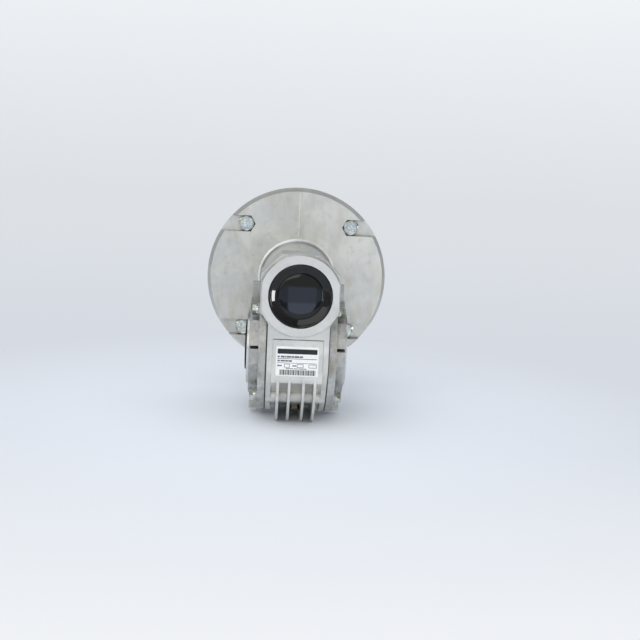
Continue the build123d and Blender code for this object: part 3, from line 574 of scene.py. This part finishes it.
def hexScrew(look):
    # the head stands on z = 0 and the shank goes down
    bm = bmesh.new()
    corner = look["flats"] / 2 / math.cos(math.pi / 6)
    made = bmesh.ops.create_circle(bm, cap_ends=False, segments=6, radius=corner)
    bmesh.ops.rotate(bm, verts=made["verts"], cent=(0, 0, 0), matrix=Matrix.Rotation(look["turn"], 3, "Z"))
    bmesh.ops.subdivide_edges(bm, edges=bm.edges[:], cuts=7)
    rim = bm.edges[:]

    def raised(ring, height, reshape):
        made = bmesh.ops.extrude_edge_only(bm, edges=ring)["geom"]
        for vert in [g for g in made if isinstance(g, bmesh.types.BMVert)]:
            flat = Vector((vert.co.x, vert.co.y, 0))
            radius, drop = reshape(flat.length)
            vert.co = flat.normalized() * radius + Vector((0, 0, height - drop))
        return [g for g in made if isinstance(g, bmesh.types.BMEdge)]

    top, inner = look["height"], look["flats"] / 2 * 0.96
    slope = math.tan(math.radians(26))
    ring = raised(rim, top, lambda r: (r, (r - inner) * slope))
    ring = raised(ring, top, lambda r: (inner, 0))
    ring = raised(ring, top, lambda r: (inner * 0.94, 0))
    ring = raised(ring, top - look["dish"], lambda r: (inner * look["dishShare"], 0))
    bmesh.ops.edgeloop_fill(bm, edges=ring)
    ring = raised(rim, 0, lambda r: (look["shank"], 0))
    if look["pitch"]:
        pitch, smooth = look["pitch"], look["smoothLength"]
        ring = raised(ring, -smooth, lambda r: (look["shank"], 0))
        count = int((look["length"] - smooth) / pitch * 5)
        for i in range(count):
            depth = -smooth - (i + 1) * (look["length"] - smooth) / count
            ring = raised(ring, depth, lambda r: (look["shank"], 0))
        for vert in [v for v in bm.verts if v.co.z < -smooth - 0.01]:
            turn = math.atan2(vert.co.y, vert.co.x) / (2 * math.pi)
            phase = (vert.co.z / pitch - turn) % 1.0
            depth = 0.61 * pitch * (1 - abs(2 * phase - 1))
            tip = max(0.0, 1.2 - (vert.co.z + look["length"]))
            radius = min(look["shank"] - depth, look["shank"] - tip * 0.8)
            flat = Vector((vert.co.x, vert.co.y, 0)).normalized() * radius
            vert.co = flat + Vector((0, 0, vert.co.z))
    else:
        ring = raised(ring, -look["length"], lambda r: (look["shank"], 0))
    bmesh.ops.edgeloop_fill(bm, edges=ring)
    bmesh.ops.scale(bm, verts=bm.verts, vec=(mm, mm, mm))
    bmesh.ops.recalc_face_normals(bm, faces=bm.faces)
    return bm


def placeAt(centre, out, across):
    # a frame whose z is the screw's outward direction and whose x is the across direction
    z = Vector(out).normalized()
    x = Vector(across).normalized()
    y = z.cross(x)
    turned = Matrix((x, y, z)).transposed().to_4x4()
    return Matrix.Translation(Vector(centre) * mm) @ turned


def screws(name, look, places, node, material):
    single = bpy.data.meshes.new(name + "_one")
    one = hexScrew(look)
    one.to_mesh(single)
    one.free()
    bm = bmesh.new()
    for place in places:
        placed = single.copy()
        placed.transform(place)
        bm.from_mesh(placed)
        bpy.data.meshes.remove(placed)
    bpy.data.meshes.remove(single)
    return newPiece(name, bm, "housing", [node], [material], 25)


coverScrew = {
    "flats": 10, "height": 4, "turn": math.pi / 6, "shank": 2.95, "length": 20, "pitch": 0, "smoothLength": 0,
    "dish": 0.25, "dishShare": 0.8, "circle": 61, "seat": 42.1,
}
quarterTurns = [math.radians(45 + 90 * i) for i in range(4)]
for side, sign in (("left", -1), ("right", 1)):
    places = []
    for angle in quarterTurns:
        y, z = coverScrew["circle"] * math.cos(angle), coverScrew["circle"] * math.sin(angle)
        places.append(placeAt((sign * coverScrew["seat"], y, z), (sign, 0, 0), (0, 1, 0)))
    screws(side + "_cover_screws", coverScrew, places, side + "_cover_bolts", zincBolt)

motorScrew = {
    "flats": 16, "height": 6.4, "turn": 0, "shank": 5, "length": 35, "pitch": 1.5, "smoothLength": 6,
    "dish": 0.35, "dishShare": 0.88, "circle": 82.5, "seat": 90,
}
places = []
for angle in quarterTurns:
    x, z = motorScrew["circle"] * math.cos(angle), wormHeight + motorScrew["circle"] * math.sin(angle)
    places.append(placeAt((x, motorScrew["seat"], z), (0, -1, 0), (1, 0, 0)))
screws("motor_screws", motorScrew, places, "motor_bolts", zincBolt)

plugScrew = {
    "flats": 10, "height": 4.5, "turn": math.pi / 6, "shank": 3.95, "length": 7, "pitch": 0, "smoothLength": 0,
    "dish": 0.2, "dishShare": 0.7, "reach": 64, "angles": {"drain_plug": 242, "level_plug": -12},
}
for node, angle in plugScrew["angles"].items():
    out = (0, math.cos(math.radians(angle)), math.sin(math.radians(angle)))
    centre = [c * plugScrew["reach"] for c in out]
    screws(node + "_hex", plugScrew, [placeAt(centre, out, (1, 0, 0))], node, yellowZinc)
print("screws made")


# rating plate: a plain white film with a dark band, ruled rows, empty boxes and plain stripes
labelLook = {
    "left": -21.0, "right": 20.4, "low": -16.6, "high": 12.6, "face": -72.6, "thick": 0.16, "corner": 1.0,
    "ink": 0.03,
}


bm = bmesh.new()
outer = labelLook["face"] - labelLook["thick"]
flatBlock(
    bm, (labelLook["left"], outer, labelLook["low"]),
    (labelLook["right"], labelLook["face"], labelLook["high"]),
)
uprights = [e for e in bm.edges if abs(e.verts[0].co.y - e.verts[1].co.y) > 0.05 * mm]
bmesh.ops.bevel(
    bm, geom=uprights, offset=labelLook["corner"] * mm, segments=4, profile=0.5, affect="EDGES", material=-1
)
newPiece("label_film", bm, "housing", [], [labelFilm])


def printed(name, bars, material):
    # bars: left, right, low and high of each printed area, in millimetres from the film's lower left corner
    bm = bmesh.new()
    for left, right, low, high in bars:
        flatBlock(
            bm,
            (labelLook["left"] + left, outer - labelLook["ink"], labelLook["low"] + low),
            (labelLook["left"] + right, outer, labelLook["low"] + high),
        )
    return newPiece(name, bm, "housing", [], [material])


def boxOutline(left, right, low, high, line):
    return [
        (left, right, low, low + line), (left, right, high - line, high),
        (left, left + line, low + line, high - line), (right - line, right, low + line, high - line),
    ]


def dashes(left, low, high, widths, gap):
    # a broken line that stands for a filled-in row
    row = []
    for width in widths:
        row.append((left, left + width, low, high))
        left += width + gap
    return row


# a band, two rules and a row of plain stripes
blackBars = [(1.4, 40.0, 21.9, 26.8), (1.4, 40.0, 16.9, 17.4), (1.4, 40.0, 12.7, 13.1)]
stripe = 4.0
for i in range(29):
    width = (0.5, 0.9, 0.6, 1.0)[i % 4]
    blackBars.append((stripe, stripe + width, 1.0, 6.2))
    stripe += width + (0.4, 0.55)[i % 2]
printed("label_black_print", blackBars, labelInk)
greyBars = dashes(1.6, 18.2, 19.9, (2.0,), 0) + dashes(4.6, 18.2, 19.9, (3.6, 1.4, 4.4, 2.2, 5.0, 3.0), 0.4)
greyBars += dashes(1.6, 14.2, 15.8, (2.4,), 0) + dashes(4.6, 14.2, 15.8, (4.2, 2.6, 3.4), 0.4)
greyBars += dashes(1.6, 9.6, 10.8, (4.4,), 0) + dashes(16.2, 9.6, 10.8, (3.8,), 0)
greyBars += dashes(10.0, 7.0, 7.7, (7.0, 4.0, 8.0), 0.6)
greyBars += boxOutline(8.2, 13.6, 8.4, 12.0, 0.5) + boxOutline(20.6, 27.0, 8.4, 12.0, 0.5)
greyBars += boxOutline(32.0, 39.8, 8.4, 12.0, 0.5)
printed("label_grey_print", greyBars, labelGrey)
print("rating plate made")


# finishes of the CAD nodes that stay as they are
finishes = {
    "left_cover_washers": zincBolt, "right_cover_washers": zincBolt,
    "left_bearing_outer_ring": groundOutputRing, "right_bearing_outer_ring": groundOutputRing,
    "left_bearing_inner_ring": groundOutputRing, "right_bearing_inner_ring": groundOutputRing,
    "front_bearing_outer_ring": groundWormRing, "front_bearing_inner_ring": groundWormRing,
    "rear_bearing_outer_ring": groundWormRing, "rear_bearing_inner_ring": groundWormRing,
    "output_shaft": turnedShaft, "wheel_rim": bronzeRim, "rim_pins": zincPin, "worm_shaft": groundWorm,
    "case_retaining_ring": springSteel, "worm_retaining_ring": springSteel, "flange_screws": blackOxide,
}
for node, material in finishes.items():
    nodes[node].data.materials.clear()
    nodes[node].data.materials.append(material)
print("finishes set")


# floor and backdrop in one bend, the lamps and the camera
studio = {
    "floorNear": "#EBEFF6", "floorSeen": "#D6DBE3", "frontSeen": "#F4F6F9", "wallSeen": "#DDE1E6",
    "wallTop": "#EFF3F6", "worldColour": "#F4F6F8",
    "floorZ": -72.0, "width": 9000, "front": -505, "bend": 1700, "back": 2600, "height": 4000, "bendSteps": 12,
    "shadowRoom": 170, "shadowEnd": 480, "worldSoft": 0.88, "wallGloss": 0.62,
    "glossFront": 0.5, "glossBack": 0.36, "glossTop": 0.5,
    "frontTint": "#F6F5F1", "backTint": "#C3CFDC", "windowTint": "#C4D2F0",
}
bm = bmesh.new()
left, right = -studio["width"] / 2, studio["width"] / 2
ends = [bm.verts.new((x * mm, studio["front"] * mm, studio["floorZ"] * mm)) for x in (left, right)]
edge = bm.edges.new(ends)
moves = [(0, studio["bend"] - studio["front"], 0)]
reach = studio["back"] - studio["bend"]
step = math.pi / 2 / studio["bendSteps"]
for i in range(studio["bendSteps"]):
    now, after = step * i, step * (i + 1)
    moves.append((0, reach * (math.sin(after) - math.sin(now)), reach * (math.cos(now) - math.cos(after))))
moves.append((0, 0, studio["height"]))
for move in moves:
    made = bmesh.ops.extrude_edge_only(bm, edges=[edge])["geom"]
    ends = [g for g in made if isinstance(g, bmesh.types.BMVert)]
    bmesh.ops.translate(bm, verts=ends, vec=Vector(move) * mm)
    edge = [g for g in made if isinstance(g, bmesh.types.BMEdge)][0]
for face in bm.faces:
    face.smooth = True
mesh = bpy.data.meshes.new("studio_floor")
bm.to_mesh(mesh)
bm.free()
floor = bpy.data.objects.new("studio_floor", mesh)
bpy.context.scene.collection.objects.link(floor)

# painted board, matt: near the object it takes light and shadow; further off it glows for camera, glossy and
# transmission rays with painted pale light, lighter towards the camera and up the wall
floorPaint, tree, shader, place = newMaterial("paintedBoard")
shader.inputs["Base Color"].default_value = linear(studio["floorNear"])
shader.inputs["Roughness"].default_value = 0.9
parts = addNode(tree, "ShaderNodeSeparateXYZ", links={0: place})
towardsCamera = rangeOf(tree, parts.outputs[1], -0.12, -0.55)
pale = mixColours(tree, towardsCamera, linear(studio["floorSeen"]), linear(studio["frontSeen"]))
towardsWall = rangeOf(tree, parts.outputs[1], 0.5, 2.2)
pale = mixColours(tree, towardsWall, pale, linear(studio["wallSeen"]))
upWall = rangeOf(tree, parts.outputs[2], 0.1, 0.9)
pale = mixColours(tree, upWall, pale, linear(studio["wallTop"]))
ray = addNode(tree, "ShaderNodeLightPath")
dimmer = mathOf(tree, "MULTIPLY", ray.outputs["Is Glossy Ray"], rangeOf(tree, parts.outputs[1], 0.0, 0.8))
strength = rangeOf(tree, dimmer, 0, 1, 1.0, studio["wallGloss"])
glow = addNode(tree, "ShaderNodeEmission", links={"Color": pale, "Strength": strength})
direct = mathOf(tree, "MAXIMUM", ray.outputs["Is Camera Ray"], ray.outputs["Is Glossy Ray"])
direct = mathOf(tree, "MAXIMUM", direct, ray.outputs["Is Transmission Ray"])
away = addNode(tree, "ShaderNodeVectorMath", links={0: place}, operation="LENGTH").outputs["Value"]
clear = rangeOf(tree, away, studio["shadowRoom"] * mm, studio["shadowEnd"] * mm)
share = mathOf(tree, "MULTIPLY", direct, clear)
painted = addNode(tree, "ShaderNodeMixShader", links={0: share, 1: shader.outputs[0], 2: glow.outputs[0]})
output = [n for n in tree.nodes if n.bl_idname == "ShaderNodeOutputMaterial"][0]
tree.links.new(painted.outputs[0], output.inputs[0])
mesh.materials.append(floorPaint)

world = bpy.data.worlds.new("studio")
bpy.context.scene.world = world
world.use_nodes = True
tree = world.node_tree
tree.nodes.clear()
ray = addNode(tree, "ShaderNodeLightPath")
softValues = {"Color": linear(studio["worldColour"]), "Strength": studio["worldSoft"]}
soft = addNode(tree, "ShaderNodeBackground", softValues)
seen = addNode(tree, "ShaderNodeBackground", {"Color": linear(studio["wallTop"]), "Strength": 1.0})
# in gloss the room is bright in front, where the lamps stand, and dimmer and bluer above and behind
direction = addNode(tree, "ShaderNodeTexCoord").outputs["Generated"]
parts = addNode(tree, "ShaderNodeSeparateXYZ", links={0: direction})
behind = rangeOf(tree, parts.outputs[1], -0.8, 0.2)
tint = mixColours(tree, behind, linear(studio["frontTint"]), linear(studio["backTint"]))
strength = rangeOf(tree, behind, 0, 1, studio["glossFront"], studio["glossBack"])
overhead = rangeOf(tree, parts.outputs[2], 0.15, 0.6, 1.0, studio["glossTop"])
strength = mathOf(tree, "MULTIPLY", strength, overhead)
# a dim room straight in front, three windows wide: gloss black pieces show it, matt metal does not
# places are slopes from the object: sideways or upwards, per unit straight ahead
room = {
    "middle": 0.048, "halfWidth": 0.34, "low": -0.42, "high": 0.2, "windowTop": -0.055, "sill": -0.182,
    "column": 0.108, "softEdge": 0.02, "sharpEdge": 0.005,
    "above": 0.6, "upper": (1.7, 1.1), "lower": (2.6, 0.4),
}
ahead = mathOf(tree, "MAXIMUM", mathOf(tree, "MULTIPLY", parts.outputs[1], -1.0), 0.05)
sideSlope = mathOf(tree, "DIVIDE", parts.outputs[0], ahead)
aside = mathOf(tree, "ABSOLUTE", mathOf(tree, "SUBTRACT", sideSlope, room["middle"]))
rise = mathOf(tree, "DIVIDE", parts.outputs[2], ahead)
opening = mathOf(
    tree, "MULTIPLY", rangeOf(tree, aside, room["halfWidth"], room["halfWidth"] - room["softEdge"]),
    rangeOf(tree, rise, room["high"], room["high"] - room["softEdge"]),
)
floorLine = rangeOf(tree, rise, room["low"], room["low"] + room["softEdge"])
opening = mathOf(tree, "MULTIPLY", opening, floorLine)
window = rangeOf(tree, rise, room["windowTop"], room["windowTop"] - room["sharpEdge"])
sill = rangeOf(tree, rise, room["sill"], room["sill"] - room["sharpEdge"])
inWindow = mathOf(tree, "MULTIPLY", opening, window)
tint = mixColours(tree, inWindow, tint, linear(studio["windowTint"]))
columnEnd = room["column"] + room["sharpEdge"]
upper = rangeOf(tree, aside, room["column"], columnEnd, *room["upper"])
lower = rangeOf(tree, aside, room["column"], columnEnd, *room["lower"])
inside = rangeOf(tree, window, 0, 1, room["above"], 0)
upperShare = mathOf(tree, "SUBTRACT", window, sill)
inside = mathOf(tree, "ADD", inside, mathOf(tree, "MULTIPLY", upper, upperShare))
inside = mathOf(tree, "ADD", inside, mathOf(tree, "MULTIPLY", lower, sill))
strength = mathOf(
    tree, "ADD", mathOf(tree, "MULTIPLY", strength, mathOf(tree, "SUBTRACT", 1.0, opening)),
    mathOf(tree, "MULTIPLY", inside, opening),
)
gloss = addNode(tree, "ShaderNodeBackground", links={"Color": tint, "Strength": strength})
direct = mathOf(tree, "MAXIMUM", ray.outputs["Is Camera Ray"], ray.outputs["Is Transmission Ray"])
shiny = addNode(
    tree, "ShaderNodeMixShader",
    links={0: ray.outputs["Is Glossy Ray"], 1: soft.outputs[0], 2: gloss.outputs[0]},
)
mixed = addNode(tree, "ShaderNodeMixShader", links={0: direct, 1: shiny.outputs[0], 2: seen.outputs[0]})
addNode(tree, "ShaderNodeOutputWorld", links={0: mixed.outputs[0]})

lamps = {
    "topSoftbox": {"place": (-350, -500, 1500), "size": (1300, 1000), "power": 4, "colour": "#FBFCFF"},
    "frontSoftbox": {"place": (-800, -1750, 850), "size": (2000, 1300), "power": 11, "colour": "#FFFEFA"},
    "sideSoftbox": {"place": (1300, -750, 190), "size": (220, 320), "power": 1.2, "colour": "#FFFFFF"},
    "lowWindow": {
        "place": (409, -590, -20), "size": (45, 150), "power": 0.5, "colour": "#FFFFFF", "glossOnly": True,
    },
}
target = Vector((0, 0, 40)) * mm
for name, lamp in lamps.items():
    data = bpy.data.lights.new(name, "AREA")
    data.shape = "RECTANGLE"
    data.size, data.size_y = lamp["size"][0] * mm, lamp["size"][1] * mm
    data.energy = lamp["power"]
    data.color = linear(lamp["colour"])[:3]
    light = bpy.data.objects.new(name, data)
    light.location = Vector(lamp["place"]) * mm
    light.rotation_euler = (target - light.location).to_track_quat("-Z", "Y").to_euler()
    light.visible_diffuse = not lamp.get("glossOnly", False)
    bpy.context.scene.collection.objects.link(light)

# camera fitted to the photograph: place, directions and focal length in pixels of its 640 px width
shot = {
    "place": (-29.6, -958.2, 178.3), "yaw": 3.2, "pitch": 8.88, "roll": 2.77,
    "focalPixels": 930.5, "pixels": 640, "sensor": 36,
}
yaw, pitch, roll = (math.radians(shot[k]) for k in ("yaw", "pitch", "roll"))
forward = Vector((math.sin(yaw) * math.cos(pitch), math.cos(yaw) * math.cos(pitch), -math.sin(pitch)))
level = Vector((math.cos(yaw), -math.sin(yaw), 0))
up = level.cross(forward)
across = level * math.cos(roll) + up * math.sin(roll)
above = up * math.cos(roll) - level * math.sin(roll)
cameraData = bpy.data.cameras.new("photoCamera")
cameraData.sensor_width = shot["sensor"]
cameraData.lens = shot["focalPixels"] / shot["pixels"] * shot["sensor"]
cameraData.clip_start, cameraData.clip_end = 0.05, 30
camera = bpy.data.objects.new("photoCamera", cameraData)
camera.matrix_world = Matrix.Translation(Vector(shot["place"]) * mm) @ Matrix(
    (across, above, -forward)
).transposed().to_4x4()
bpy.context.scene.collection.objects.link(camera)
bpy.context.scene.camera = camera
bpy.context.scene.view_settings.view_transform = "Standard"
print("studio made")
